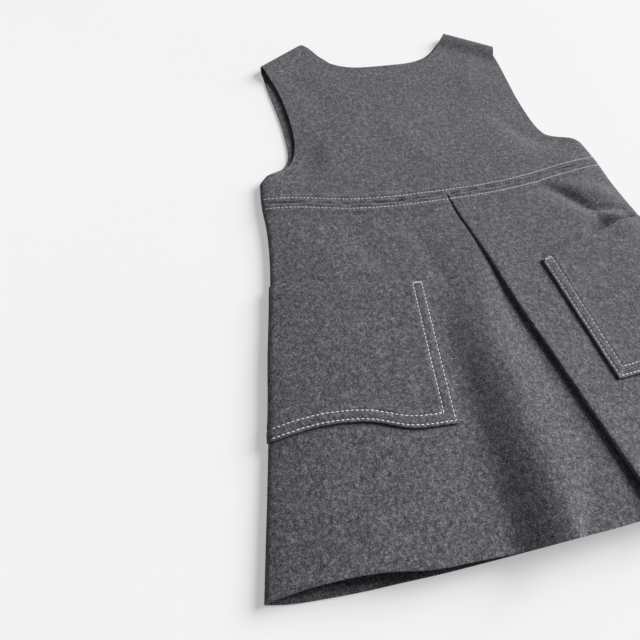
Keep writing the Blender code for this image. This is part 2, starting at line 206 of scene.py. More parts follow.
@dataclass(frozen=True)
class Cut:
    """The dress's cut: its outlines and seams as they lie."""

    cloth: float = 1.4
    gap: float = 0.3
    waist_above_centre: float = 42.5
    back_level: float = 0.7
    front_level: float = 6.8
    seam_roll: float = 3.0
    underlay_level: float = 3.3
    fold_step: float = 1.72
    hem_depth: float = 285.0
    waist_dip: float = 16.5
    tent_rise: float = 7.0
    sink: float = 3.5
    sink_up: tuple[float, float] = (10.0, 110.0)
    sink_across: tuple[float, float] = (80.0, 114.0)
    sink_armhole: tuple[float, float] = (8.0, 45.0)
    sink_clear: tuple[float, float] = (4.0, 24.0)
    neck_tip: Point = Point(79.0, 202.0)
    shoulder_tip: Point = Point(123.0, 174.0)
    front_neck: tuple[Point, ...] = (
        Point(-79.0, 202.0), Point(-69.0, 193.5), Point(-60.0, 181.5), Point(-50.0, 168.0),
        Point(-37.0, 160.5), Point(-20.0, 158.8), Point(0.0, 158.3), Point(20.0, 158.8),
        Point(37.0, 162.0), Point(50.0, 169.5), Point(62.0, 181.5), Point(71.5, 193.5),
        Point(79.0, 202.0))
    back_neck: tuple[Point, ...] = (
        Point(-79.0, 202.0), Point(-69.0, 193.0), Point(-58.0, 181.0), Point(-45.0, 171.5),
        Point(-28.0, 166.5), Point(0.0, 165.5))
    front_armhole: tuple[Point, ...] = (
        Point(150.5, 22.5), Point(144.0, 29.5), Point(132.0, 35.5), Point(121.5, 42.5),
        Point(115.0, 55.0), Point(111.5, 72.0), Point(110.5, 97.0), Point(111.5, 122.0),
        Point(115.5, 150.0), Point(123.0, 174.0))
    back_armhole: tuple[Point, ...] = (
        Point(150.5, 22.5), Point(144.5, 29.5), Point(134.0, 36.0), Point(125.0, 44.0),
        Point(120.5, 56.0), Point(119.0, 75.0), Point(119.0, 98.0), Point(120.5, 122.0),
        Point(122.5, 150.0), Point(123.0, 174.0))
    side: SmoothTable = SmoothTable((
        Point(203.0, -285.0), Point(196.8, -256.0), Point(187.8, -214.0), Point(177.6, -164.0),
        Point(171.0, -129.0), Point(163.0, -90.0), Point(157.0, -57.0), Point(153.6, -26.0),
        Point(153.0, 0.0), Point(150.5, 22.5)), "y")
    waist: SmoothTable = SmoothTable((
        Point(-153.0, 0.0), Point(-128.0, -3.0), Point(-105.0, -8.0), Point(-83.0, -12.5),
        Point(-55.0, -15.5), Point(-25.0, -16.5), Point(15.0, -16.5), Point(50.0, -15.0),
        Point(80.0, -11.5), Point(110.0, -6.0), Point(153.0, 0.0)), "x")
    front_hem: SmoothTable = SmoothTable((
        Point(0.0, -286.5), Point(30.0, -286.0), Point(56.0, -285.6), Point(86.0, -284.0),
        Point(100.0, -283.4), Point(115.0, -281.5), Point(129.0, -278.6), Point(143.0, -276.8),
        Point(160.0, -275.8), Point(180.0, -275.8), Point(203.0, -277.5)), "x")
    back_hem: SmoothTable = SmoothTable((
        Point(0.0, -286.5), Point(65.0, -286.2), Point(102.0, -285.7), Point(126.0, -284.8),
        Point(144.0, -284.2), Point(161.0, -283.2), Point(183.0, -281.4), Point(192.0, -280.2),
        Point(203.0, -278.0)), "x")

    def side_x(self, y: float) -> float:
        """Half of the dress's width at a height."""
        return self.side.at("x", y)

    def waist_y(self, x: float) -> float:
        """Height of the waist seam at a place across."""
        return self.waist.at("y", x)

    def seam_edge(self, level: float) -> float:
        """Height of a piece's edge at a side or shoulder seam."""
        middle = (self.front_level + self.back_level) / 2
        return middle + math.copysign(self.gap / 2, level - middle)

    def below_shoulder(self, x: float, y: float) -> float:
        """Distance of a place below the shoulder's line."""
        run = self.shoulder_tip.x - self.neck_tip.x
        fall = self.neck_tip.y - self.shoulder_tip.y
        off = (self.neck_tip.y - y) * run - (abs(x) - self.neck_tip.x) * fall
        return off / math.hypot(run, fall)

    def roll(self, distance: float) -> float:
        """0 at a rolled seam and 1 where the cloth lies level again."""
        left = 1 - min(max(distance / self.seam_roll, 0.0), 1.0)
        return math.sqrt(1 - left * left)

    def sunk(self, x: float, y: float) -> float:
        """How much lower the front bodice lies at a place than at the waist."""
        across = smoothstep(*self.sink_across, abs(x)) * smoothstep(*self.sink_armhole, y)
        clear = smoothstep(*self.sink_clear, self.side_x(y) - abs(x))
        clear *= smoothstep(*self.sink_clear, self.below_shoulder(x, y))
        return self.sink * (1 - (1 - smoothstep(*self.sink_up, y)) * (1 - across)) * clear

    def side_roll(self, distance: float) -> float:
        """0 at the front's side seam, rising steeply and then softly to 1 further in."""
        return 0.45 * self.roll(distance) + 0.55 * (1 - math.exp(-distance / 8.0))

    def way_down(self, y: float) -> float:
        """0 at the waist and 1 at the hem."""
        return min(max((-self.waist_dip - y) / (self.hem_depth - self.waist_dip), 0.0), 1.0)

    def tent(self, x: float, y: float) -> float:
        """How far the skirt's front is lifted off its back at a place, in all its layers."""
        return self.tent_rise * self.way_down(y) * (1 - min(abs(x) / self.side_x(y), 1.0) ** 2)

    def roll_insets(self, steps: int) -> list[float]:
        """Distances in from a rolled seam at even angles of the roll."""
        return [self.seam_roll * (1 - math.cos(math.radians(angle)))
                for angle in between(0.0, 90.0, steps)]


CUT = Cut()


@dataclass(frozen=True)
class Wear:
    """The creases and the slight waviness of one layer of the dress."""

    creases: tuple[Crease, ...] = ()
    waviness: float = 0.35
    wave_length: float = 38.0
    seed: float = 0.0

    def rise(self, x: float, y: float) -> float:
        """How far a place of the layer stands above its even level."""
        spot = Vector((x / self.wave_length, y / self.wave_length, self.seed))
        total = self.waviness * noise.noise(spot)
        total += 0.3 * self.waviness * noise.noise(spot * 2.7)
        return total + sum(crease.rise(x, y) for crease in self.creases)


FRONT_BODICE_WEAR = Wear(creases=(
    Crease(Point(-126.0, 12.0), Point(-92.0, 66.0), 7.0, -0.7, bow=4.0),
    Crease(Point(112.0, 30.0), Point(84.0, 84.0), 8.0, -0.9, bow=-5.0),
    Crease(Point(-20.0, 96.0), Point(6.0, 20.0), 12.0, 0.6, bow=6.0),
    Crease(Point(58.0, 120.0), Point(30.0, 40.0), 14.0, -0.5, bow=5.0),
    Crease(Point(-96.0, 160.0), Point(-72.0, 108.0), 10.0, -0.6),
    Crease(Point(92.0, 168.0), Point(70.0, 112.0), 9.0, 0.6),
), seed=1.0)
BACK_WEAR = Wear(waviness=0.0)
LEFT_PANEL_WEAR = Wear(creases=(
    Crease(Point(-146.0, -28.0), Point(-152.0, -74.0), 7.0, -0.9, bow=2.0),
    Crease(Point(-92.0, -28.0), Point(-70.0, -84.0), 9.0, -0.8, bow=3.0),
    Crease(Point(-40.0, -40.0), Point(-30.0, -110.0), 7.0, -0.7, bow=2.0),
    Crease(Point(-120.0, -36.0), Point(-108.0, -80.0), 11.0, 0.5),
), seed=2.0)
RIGHT_PANEL_WEAR = Wear(creases=(
    Crease(Point(88.0, -20.0), Point(121.0, -60.0), 6.5, -2.7, bow=-3.0, lean=0.25),
    Crease(Point(118.0, -52.0), Point(150.0, -58.0), 4.0, -2.1, bow=1.5),
    Crease(Point(108.0, -26.0), Point(146.0, -46.0), 9.0, 1.8, bow=-2.0),
    Crease(Point(102.0, -77.0), Point(131.0, -68.0), 5.0, -3.6, bow=-1.0),
    Crease(Point(122.0, -64.0), Point(142.0, -60.0), 4.5, 1.6),
    Crease(Point(124.0, -82.0), Point(146.0, -74.0), 6.0, 1.4),
    Crease(Point(40.0, -40.0), Point(52.0, -84.0), 9.0, -0.5),
), seed=3.0)
POCKET_WEAR = Wear(waviness=0.5, wave_length=30.0, seed=4.0)


def on_table(place: Vector) -> Vector:
    """A place on the dress moved to the frame's origin, in metres."""
    return Vector((place.x, place.y + CUT.waist_above_centre, place.z)) * MM


def linked(name: str, shape: bmesh.types.BMesh) -> bpy.types.Object:
    """Turn a finished shape into a smooth, named object at the origin."""
    mesh = bpy.data.meshes.new(name)
    shape.to_mesh(mesh)
    shape.free()
    mesh.shade_smooth()
    piece = bpy.data.objects.new(name, mesh)
    bpy.context.scene.collection.objects.link(piece)
    return piece


class Weave:
    """Grids of places made into walls of cloth."""

    edge_round = 0.32
    edge_turn = 60.0

    @staticmethod
    def area(grid: Sequence[Sequence[Vector]]) -> float:
        """The cloth's area between the grid's places, in square metres."""
        total = 0.0
        for left, right in zip(grid, grid[1:]):
            for a, b, c, d in zip(left, left[1:], right, right[1:]):
                total += ((d - a).cross(c - b)).length / 2
        return total * MM * MM

    @staticmethod
    def flat(grid: Sequence[Sequence[Vector]]) -> tuple[float, float]:
        """The way across the cut's widest row and the longest way along it, in metres."""
        widest = max(range(len(grid[0])), key=lambda i: abs(grid[-1][i].x - grid[0][i].x))
        across = sum((b[widest] - a[widest]).length for a, b in zip(grid, grid[1:]))
        down = max(sum((b - a).length for a, b in zip(column, column[1:])) for column in grid)
        return across * MM, down * MM

    @staticmethod
    def wall(name: str, grid: Sequence[Sequence[Vector]], thickness: float) -> bpy.types.Object:
        """Shape a grid of faces to the places and give it the cloth's thickness.

        Args:
            name: the piece's name.
            grid: columns of places, all of one length, on the cloth's middle.
            thickness: the cloth's thickness in millimetres.

        Returns:
            The finished piece, at the origin.
        """
        columns, rows = len(grid) - 1, len(grid[0]) - 1
        shape = bmesh.new()
        bmesh.ops.create_grid(shape, x_segments=columns, y_segments=rows, size=1.0)
        for corner in shape.verts:
            column = round((corner.co.x + 1) / 2 * columns)
            row = round((corner.co.y + 1) / 2 * rows)
            corner.co = on_table(grid[column][row])
        top = max(shape.faces, key=lambda face: face.calc_center_median().z)
        if top.normal.z < 0:
            bmesh.ops.reverse_faces(shape, faces=shape.faces)
        piece = linked(name, shape)
        wall = piece.modifiers.new("cloth", "SOLIDIFY")
        wall.thickness = thickness * MM
        wall.offset = 0.0
        edge = piece.modifiers.new("soft edge", "BEVEL")
        edge.width = thickness * Weave.edge_round * MM
        edge.segments = 2
        edge.limit_method = "ANGLE"
        edge.angle_limit = math.radians(Weave.edge_turn)
        return piece


def spread(stops: Sequence[tuple[float, int]]) -> list[float]:
    """Shares from 0 to 1 with a chosen number of steps in each stretch.

    Args:
        stops: the end of each stretch and its number of steps, in order.
    """
    shares, start = [0.0], 0.0
    for end, steps in stops:
        shares += between(start, end, steps)[1:]
        start = end
    return shares


def seam_relief(x: float, distance: float) -> float:
    """The relief of a pressed, topstitched seam.

    The seam sinks in, the allowance under it pads and puckers it, and each row of
    stitches pulls down.

    Args:
        x: Where along the seam.
        distance: How far above the seam's line, or below it when negative.
    """
    padding = 0.55 * (1 - smoothstep(7.0, 12.0, abs(distance)))
    groove = -0.55 * math.exp(-(distance / 0.9) ** 2)
    pull = -0.42 * math.exp(-((abs(distance) - TOPSTITCH_OFFSET) / 1.0) ** 2)
    between_rows = 1 - smoothstep(TOPSTITCH_OFFSET - 1.8, TOPSTITCH_OFFSET - 0.2, abs(distance))
    pucker = SEAM_PUCKER * noise.noise(Vector((x / 8.0, distance / 2.3, 9.0))) * between_rows
    return padding + groove + pull + pucker



@dataclass
class BodicePanel:
    """A sleeveless bodice panel between its waist seam and its upper edge."""

    level: float
    armhole: tuple[Point, ...]
    neck: tuple[Point, ...]
    wear: Wear
    strap_feet: tuple[float, float] = (46.0, 30.0)
    feet_power: float = 1.6
    armhole_steps: int = 72
    shoulder_steps: int = 18
    neck_steps: int = 66
    roll_steps: int = 6
    short_column: float = 60.0

    def strap_columns(self) -> list[tuple[Point, float]]:
        """The right side's columns, as each one's upper point and its foot on the waist."""
        insets = CUT.roll_insets(self.roll_steps)
        first, second = self.armhole[0], self.armhole[1]
        rise = (second.y - first.y) / (first.x - second.x)
        corner = [Point(first.x - inset, first.y + inset * rise) for inset in insets]
        curve = corner[:-1] + along((corner[-1],) + tuple(self.armhole[1:]), self.armhole_steps)
        feet = [CUT.side_x(0.0) - inset for inset in insets]
        reach = self.strap_feet[0] - feet[-1]
        feet += [feet[-1] + reach * (1 - (1 - share) ** self.feet_power)
                 for share in between(0.0, 1.0, self.armhole_steps)[1:]]
        steps = self.shoulder_steps
        shoulder = [Point(x, y) for x, y in zip(between(CUT.shoulder_tip.x, CUT.neck_tip.x, steps),
                                                between(CUT.shoulder_tip.y, CUT.neck_tip.y, steps))]
        feet += between(self.strap_feet[0], self.strap_feet[1], steps)[1:]
        return list(zip(curve + shoulder[1:], feet))

    @staticmethod
    def mirrored(columns: Sequence[tuple[Point, float]]) -> list[tuple[Point, float]]:
        """The same columns on the other side of the centre."""
        return [(Point(-top.x, top.y), -foot) for top, foot in columns]

    def height(self, x: float, y: float) -> float:
        """Height of the cloth's middle at a place on the panel."""
        edge = CUT.seam_edge(self.level)
        side = CUT.side_x(y) - abs(x)
        level = self.level
        if level > edge:
            rolled = CUT.side_roll(side)
            level -= CUT.sunk(x, y)
        else:
            rolled = CUT.roll(side)
        rolled *= CUT.roll(CUT.below_shoulder(x, y))
        near = smoothstep(0.0, 14.0, min(side, CUT.below_shoulder(x, y)))
        sunk = edge + (level - edge) * rolled + self.wear.rise(x, y) * near
        if self.level < edge:
            return sunk
        return sunk + seam_relief(x, y - CUT.waist_y(x)) * smoothstep(0.0, 6.0, side)

    def place(self, x: float, y: float) -> Vector:
        """A place on the cloth's middle."""
        return Vector((x, y, self.height(x, y)))

    def grid(self, columns: Sequence[tuple[Point, float]]) -> list[list[Vector]]:
        """Columns of places from the waist seam up to the upper edge."""
        insets = CUT.roll_insets(self.roll_steps)[1:]
        grid = []
        for top, foot in columns:
            low = Point(foot, CUT.waist_y(foot) + CUT.gap / 2)
            start, end = low.x / CUT.side_x(low.y), top.x / CUT.side_x(top.y)
            length = math.dist(top, low)
            scale = min(1.0, length / self.short_column) / length
            ends = [inset * scale for inset in insets]
            seam = min(14.0 / length, 0.35)
            shares = between(0.0, seam, 20) + between(seam, 1 - ends[-1], 62)[1:]
            shares += [1 - step for step in ends[-2::-1]] + [1.0]
            column = []
            for share in shares:
                y = low.y + (top.y - low.y) * share
                across = start + (end - start) * share * share
                column.append(self.place(CUT.side_x(y) * across, y))
            grid.append(column)
        return grid

    def front(self) -> list[list[Vector]]:
        """A whole panel, from its left side seam round to its right one."""
        right = self.strap_columns()
        neck = list(zip(along(self.neck, self.neck_steps),
                        between(-self.strap_feet[1], self.strap_feet[1], self.neck_steps)))
        return self.grid(self.mirrored(right) + neck[1:-1] + right[::-1])

    def half(self, side: Side) -> list[list[Vector]]:
        """Half a panel, from its side seam to the seam at its centre."""
        steps = self.neck_steps // 2
        half_neck = tuple(self.neck[:-1]) + (Point(-CUT.gap / 2, self.neck[-1].y),)
        neck = list(zip(along(half_neck, steps), between(-self.strap_feet[1], -CUT.gap / 2, steps)))
        columns = self.mirrored(self.strap_columns()) + neck[1:]
        if side is Side.RIGHT:
            columns = self.mirrored(columns)[::-1]
        return self.grid(columns)


TOPSTITCH_OFFSET = 5.1
SEAM_PUCKER = 1.0
POCKET_STITCH_ROWS = (1.8, 7.8)
NEAR = 0.4
POCKET_EDGES: dict[Side, tuple[PocketRow, ...]] = {
    Side.LEFT: (
        PocketRow(0.0, 49.3, -97.6, 63.3, -206.5),
        PocketRow(0.25, 77.0, -93.8, 91.0, -203.8),
        PocketRow(0.5, 105.0, -88.8, 118.0, -193.5),
        PocketRow(0.75, 133.0, -83.0, 148.0, -190.0),
        PocketRow(1.0, 157.0, -78.8, 178.0, -192.5)),
    Side.RIGHT: (
        PocketRow(0.0, 48.5, -97.0, 54.5, -201.5),
        PocketRow(0.25, 76.0, -88.5, 80.0, -199.8),
        PocketRow(0.5, 104.0, -80.3, 110.0, -196.0),
        PocketRow(0.75, 131.0, -72.5, 144.0, -193.0),
        PocketRow(1.0, 156.0, -67.5, 178.0, -192.5)),
}


@dataclass
class FrontSkirt:
    """The front skirt with its relaxed inverted pleat."""

    pleat_rows: tuple[PleatRow, ...] = (
        PleatRow(-16.5, -0.6, 0.0, -14.0, 1.0, 0.0, 27.0),
        PleatRow(-35.0, 0.2, 0.0, -3.0, 2.4, 0.3, 29.0),
        PleatRow(-60.0, 2.0, 0.0, 11.0, 5.6, 0.9, 33.0),
        PleatRow(-90.0, 0.5, 0.5, 15.0, 9.4, 1.6, 37.0),
        PleatRow(-130.0, -14.0, 2.8, 26.0, 12.6, 2.4, 41.0),
        PleatRow(-179.0, -19.0, 5.4, 34.0, 19.0, 3.4, 47.0),
        PleatRow(-224.0, -22.0, 6.8, 38.0, 24.4, 4.6, 53.0),
        PleatRow(-265.0, -23.5, 7.6, 26.0, 30.2, 5.4, 58.0),
        PleatRow(-290.0, -24.0, 8.0, 5.0, 33.8, 5.8, 62.0))
    left_rise: tuple[RiseRow, ...] = (
        RiseRow(0.0, 0.0), RiseRow(0.10, -0.8), RiseRow(0.20, -2.4), RiseRow(0.30, -1.6),
        RiseRow(0.50, 0.6), RiseRow(0.74, 1.6), RiseRow(0.90, 0.4), RiseRow(1.0, 0.0))
    right_rise: tuple[RiseRow, ...] = (
        RiseRow(0.0, 0.0), RiseRow(0.12, 0.0), RiseRow(0.28, 0.2), RiseRow(0.46, 0.8),
        RiseRow(0.64, 1.6), RiseRow(0.80, 2.0), RiseRow(0.92, 0.8), RiseRow(1.0, 0.0))
    rise_power: float = 0.9
    ridge_span: tuple[float, float] = (0.0, 0.20)
    fold_power: float = 4.0
    underlay_rises: tuple[float, float] = (1.0, 0.45)
    underlay_power: float = 1.5
    soft_reach: float = 10.0
    under_top: tuple[float, float] = (0.7, 1.5)
    past_fold: float = 1.5
    groove_above: float = 2.6
    groove_width: float = 1.9
    groove_from: tuple[float, float] = (47.0, 53.0)
    groove_to: tuple[float, float] = (150.0, 160.0)
    roll_steps: int = 6
    panel_steps: int = 64
    fold_steps: int = 8

    def __post_init__(self) -> None:
        """Turn the tables into smooth curves."""
        self.pleat = SmoothTable(self.pleat_rows, "y")
        self.rises = {Side.LEFT: SmoothTable(self.left_rise, "across"),
                      Side.RIGHT: SmoothTable(self.right_rise, "across")}
        self.wear = {Side.LEFT: LEFT_PANEL_WEAR, Side.RIGHT: RIGHT_PANEL_WEAR}
        self.groove_depths = {Side.LEFT: 0.5, Side.RIGHT: 2.8}
        self.mouths = {side: SmoothTable(rows, "top_x") for side, rows in POCKET_EDGES.items()}

    def span(self, side: Side, y: float) -> tuple[float, float]:
        """Across from the pleat's edge to the start of the side's roll."""
        if side is Side.LEFT:
            return self.pleat.at("ridge", y) - CUT.fold_step / 2, CUT.seam_roll - CUT.side_x(y)
        return self.pleat.at("fold", y) + CUT.fold_step / 2, CUT.side_x(y) - CUT.seam_roll

    def panel(self, side: Side, x: float, y: float) -> float:
        """Height of a front panel's middle before it is worn, away from its side's roll."""
        start, end = self.span(side, y)
        share = min(max((x - start) / (end - start), 0.0), 1.0)
        rise = self.rises[side].at("at_hem", share) * CUT.way_down(y) ** self.rise_power
        if side is Side.LEFT:
            edge = self.pleat.at("ridge_rise", y) * (1 - smoothstep(*self.ridge_span, share))
        else:
            edge = self.pleat.at("fold_rise", y) * (1 - share) ** self.fold_power
        return CUT.front_level + rise + edge

    def worn(self, spot: Vector) -> Vector:
        """A place of the skirt's top layer with its creases and its seam's relief."""
        side = Side.LEFT if spot.x < self.pleat.at("fold", spot.y) - self.past_fold else Side.RIGHT
        under = self.rolled(side, spot.x, spot.y).z - spot.z
        top_layer = 1 - smoothstep(*self.under_top, under)
        if top_layer == 0.0:
            return spot
        inset = CUT.side_x(spot.y) - abs(spot.x)
        near_side = smoothstep(0.0, 14.0, inset)
        near_pleat = smoothstep(0.0, 10.0, abs(spot.x - self.span(side, spot.y)[0]))
        rise = self.wear[side].rise(spot.x, spot.y) * near_pleat * near_side
        rise += seam_relief(spot.x, spot.y - CUT.waist_y(spot.x)) * smoothstep(0.0, 6.0, inset)
        rise += self.mouth_groove(side, spot.x, spot.y)
        return spot + Vector((0.0, 0.0, rise * top_layer))

    def mouth_groove(self, side: Side, x: float, y: float) -> float:
        """How far the panel is pressed in along its pocket's mouth."""
        across = abs(x)
        within = smoothstep(*self.groove_from, across) * (1 - smoothstep(*self.groove_to, across))
        off = y - self.mouths[side].at("top_y", across) - self.groove_above
        return -self.groove_depths[side] * within * math.exp(-(off / self.groove_width) ** 2)

    @staticmethod
    def lifted(x: float, y: float, z: float) -> Vector:
        """A place of any of the skirt's layers, lifted with the whole front."""
        return Vector((x, y, z + CUT.tent(x, y)))

    def rolled(self, side: Side, x: float, y: float) -> Vector:
        """A place on a front panel before it is worn, rolled at its side."""
        edge = CUT.seam_edge(CUT.front_level)
        share = CUT.side_roll(CUT.side_x(y) - abs(x))
        return self.lifted(x, y, edge + (self.panel(side, x, y) - edge) * share)

    def place(self, side: Side, x: float, y: float) -> Vector:
        """A place on a front panel's middle."""
        return self.worn(self.rolled(side, x, y))

    def turn(self, x: float, z: float, radius: float, start: float, end: float,
             y: float) -> list[Vector]:
        """Places round a fold about a centre, from one angle to another."""
        angles = [math.radians(angle) for angle in between(start, end, self.fold_steps)]
        return [self.lifted(x + radius * math.cos(a), y, z + radius * math.sin(a)) for a in angles]

    def left_fold(self, y: float) -> list[Vector]:
        """The left fold and its cloth down to the underlay, tucked back or opened out."""
        start, reach = self.pleat.at("ridge", y) - CUT.fold_step / 2, self.pleat.at("reach", y)
        top = self.panel(Side.LEFT, start, y)
        base = CUT.underlay_level + self.pleat.at("fold_rise", y) * self.underlay_rises[0]
        radius = (top - base) / 4
        sweep = math.degrees(2 * math.atan2(2 * radius, max(reach, 0.0)))
        points = self.turn(start, top - radius, radius, 90.0, 90.0 - sweep, y)
        points += self.turn(start + reach, base + radius, radius, 270.0 - sweep, 270.0, y)
        slope = []
        for share in between(0.0, 1.0, len(points) - 1):
            fall = share * share * (3 - 2 * share)
            slope.append(self.lifted(start + reach * share, y, top - (top - base) * fall))
        soft = min(max(reach / self.soft_reach, 0.0), 1.0)
        return [a.lerp(b, soft) for a, b in zip(points, slope)]

    def right_fold(self, y: float) -> list[Vector]:
        """The hidden inner fold, its return and the right fold's crisp edge."""
        radius = CUT.fold_step / 2
        inner, fold = self.pleat.at("inner", y), self.pleat.at("fold", y)
        top = self.panel(Side.RIGHT, fold + radius, y)
        base = CUT.underlay_level + self.pleat.at("fold_rise", y) * self.underlay_rises[1]
        points = self.turn(inner - radius, base + radius, radius, -90.0, 90.0, y)
        low, high = points[-1], self.lifted(fold + radius, y, top - CUT.fold_step)
        points += [low.lerp(high, share) for share in between(0.0, 1.0, 12)[1:-1]]
        return points + self.turn(fold + radius, top - radius, -radius, 90.0, -90.0, y)

    def row(self, y: float) -> list[Vector]:
        """One row of the unworn skirt's middle, from its left side seam to its right one."""
        insets = CUT.roll_insets(self.roll_steps)
        row = [self.rolled(Side.LEFT, inset - CUT.side_x(y), y) for inset in insets]
        start, end = self.span(Side.LEFT, y)
        row += [self.rolled(Side.LEFT, x, y) for x in between(end, start, self.panel_steps)[1:-1]]
        row += self.left_fold(y)
        left, right = row[-1], self.right_fold(y)
        for share in between(0.0, 1.0, 16)[1:-1]:
            spot = left.lerp(right[0], share)
            spot.z = left.z + (right[0].z - left.z) * share ** self.underlay_power
            row.append(spot)
        row += right
        start, end = self.span(Side.RIGHT, y)
        row += [self.rolled(Side.RIGHT, x, y) for x in between(start, end, self.panel_steps)[1:-1]]
        return row + [self.rolled(Side.RIGHT, CUT.side_x(y) - inset, y) for inset in insets[::-1]]

    def grid(self) -> list[list[Vector]]:
        """Columns of places from the waist seam down to the hem."""
        lowest = math.floor(CUT.front_hem.at("y", 0.0)) - 1
        levels = [self.row(float(y)) for y in range(lowest, 1)]
        shares = spread(((0.055, 20), (0.985, 112), (1.0, 4)))
        columns = []
        for i in range(len(levels[0])):
            column = []
            for share in shares:
                y = -CUT.waist_dip - (CUT.hem_depth - CUT.waist_dip) * share
                for _ in range(2):
                    x = self.read(levels, lowest, i, y).x
                    top = CUT.waist_y(x) - CUT.gap / 2
                    y = top + (CUT.front_hem.at("y", abs(x)) - top) * share
                column.append(self.worn(self.read(levels, lowest, i, y)))
            columns.append(column)
        return columns

    @staticmethod
    def read(levels: Sequence[Sequence[Vector]], lowest: int, i: int, y: float) -> Vector:
        """Station i of the skirt's rows at a height between two whole millimetres."""
        row = min(max(math.floor(y) - lowest, 0), len(levels) - 2)
        return levels[row][i].lerp(levels[row + 1][i], y - lowest - row)


@dataclass
class BackSkirt:
    """The plain back skirt, flat on the surface and rolled up to its side seams."""

    roll_steps: int = 6
    panel_steps: int = 90

    def grid(self) -> list[list[Vector]]:
        """Columns of places from the waist seam down to the hem."""
        edge = CUT.seam_edge(CUT.back_level)
        rolls = [math.radians(angle) for angle in between(0.0, 90.0, self.roll_steps)]
        rise = CUT.back_level - edge
        left = [(-1.0, CUT.seam_roll * (1 - math.cos(a)), edge + rise * math.sin(a))
                for a in rolls]
        middle = [(share, CUT.seam_roll, CUT.back_level)
                  for share in between(-1.0, 1.0, self.panel_steps)[1:-1]]
        right = [(1.0, inset, height) for _, inset, height in left[::-1]]
        grid = []
        for place, inset, height in left + middle + right:
            column = []
            for share in spread(((0.055, 16), (1.0, 70))):
                x = place * (CUT.side_x(-CUT.hem_depth * share) - inset)
                top = CUT.waist_y(x) - CUT.gap / 2
                y = top + (CUT.back_hem.at("y", abs(x)) - top) * share
                column.append(Vector((place * (CUT.side_x(y) - inset), y, height)))
            grid.append(column)
        return grid


@dataclass
class PatchPocket:
    """A patch pocket: its panel's places moved out, and rolled with it at the side."""

    side: Side
    skirt: FrontSkirt
    rows: tuple[PocketRow, ...]
    gape: float = 0.4
    gape_at: float = 0.7
    width: float = 105.0
    depth: float = 108.0

    def __post_init__(self) -> None:
        """Turn the table into a smooth curve."""
        self.edges = SmoothTable(self.rows, "share")

    def spot(self, share: float, down: float) -> Vector:
        """A place on the pocket's middle.

        Args:
            share: 0 at the inner edge and 1 at the side seam.
            down: 0 at the pocket's mouth and 1 at its base.
        """
        top = Point(self.edges.at("top_x", share), self.edges.at("top_y", share))
        base = Point(self.edges.at("base_x", share), self.edges.at("base_y", share))
        y = top.y + (base.y - top.y) * down
        inner = self.edges.at("top_x", 0.0) * (1 - down) + self.edges.at("base_x", 0.0) * down
        outer = self.edges.at("top_x", 1.0) * (1 - down) + self.edges.at("base_x", 1.0) * down
        across = top.x + (base.x - top.x) * down
        fit = (across - inner) / (outer - inner)
        x = self.side.value * (inner + (CUT.side_x(y) - inner) * fit)
        low, high, below, above = (
            self.skirt.place(self.side, x + off_x, y + off_y)
            for off_x, off_y in ((-NEAR, 0.0), (NEAR, 0.0), (0.0, -NEAR), (0.0, NEAR)))
        face = (high - low).cross(above - below).normalized()
        return self.skirt.place(self.side, x, y) + face * self.lift(share, down)

    def lift(self, share: float, down: float) -> float:
        """How far the pocket's middle stands off its panel's middle."""
        edge = min(share * self.width, (1 - down) * self.depth)
        padding = 0.35 * smoothstep(0.0, 1.2, edge) * (1 - smoothstep(9.0, 14.0, edge))
        pull = sum(-0.4 * math.exp(-((edge - row) / 0.9) ** 2) for row in POCKET_STITCH_ROWS)
        mouth = self.gape * math.exp(-(down * self.depth / 14.0) ** 2)
        mouth *= math.exp(-((share - self.gape_at) / 0.17) ** 2)
        slack = POCKET_WEAR.rise(share * self.width, down * self.depth)
        slack *= smoothstep(8.0, 20.0, edge)
        return CUT.cloth + CUT.gap + padding + pull + mouth + max(slack, -0.1)

    def face(self, share: float, down: float) -> tuple[Vector, Vector]:
        """A place on the pocket's outer face and the direction out of it."""
        step = 0.002
        across = self.spot(share + step, down) - self.spot(share - step, down)
        fall = self.spot(share, down + step) - self.spot(share, down - step)
        up = fall.cross(across).normalized() * self.side.value
        return self.spot(share, down) + up * CUT.cloth / 2, up

    def seam(self, offset: float) -> tuple[list[Vector], list[Vector]]:
        """The path of a stitched row at a distance from the inner edge and the base."""
        share, down = offset / self.width, 1 - offset / self.depth
        stops = [(share, stop) for stop in between(0.012, down, 90)]
        stops += [(stop, down) for stop in between(share, 0.985, 90)[1:]]
        faces = [self.face(*stop) for stop in stops]
        return [place for place, _ in faces], [up for _, up in faces]

    def grid(self) -> list[list[Vector]]:
        """Columns of places from the pocket's mouth to its base."""
        shares = spread(((0.12, 24), (0.95, 44), (0.999, 16)))
        downs = spread(((0.03, 5), (0.88, 44), (1.0, 26)))
        return [[self.spot(share, down) for down in downs] for share in shares]



def add_strand(shape: bmesh.types.BMesh, middle: Vector, along_it: Vector, up: Vector,
               length: float, width: float, height: float) -> None:
    """Add one smooth strand of thread, a sphere drawn out along the way it runs.

    Args:
        shape: the mesh that gathers the strands.
        middle: the strand's middle in millimetres.
        along_it: the way it runs.
        up: the cloth's outward direction there.
        length: the strand's length.
        width: its width across the cloth.
        height: its height off the cloth.
    """
    run = along_it.normalized()
    face = (up - run * up.dot(run)).normalized()
    turned = Matrix((run, face.cross(run), face)).transposed().to_4x4()
    sizes = Matrix.Diagonal((length, width, height, 1.0))
    place = Matrix.Translation(on_table(middle)) @ turned @ sizes
    bmesh.ops.create_uvsphere(shape, u_segments=6, v_segments=5, radius=0.5 * MM,
                              matrix=place @ Matrix.Rotation(math.pi / 2, 4, "Y"))


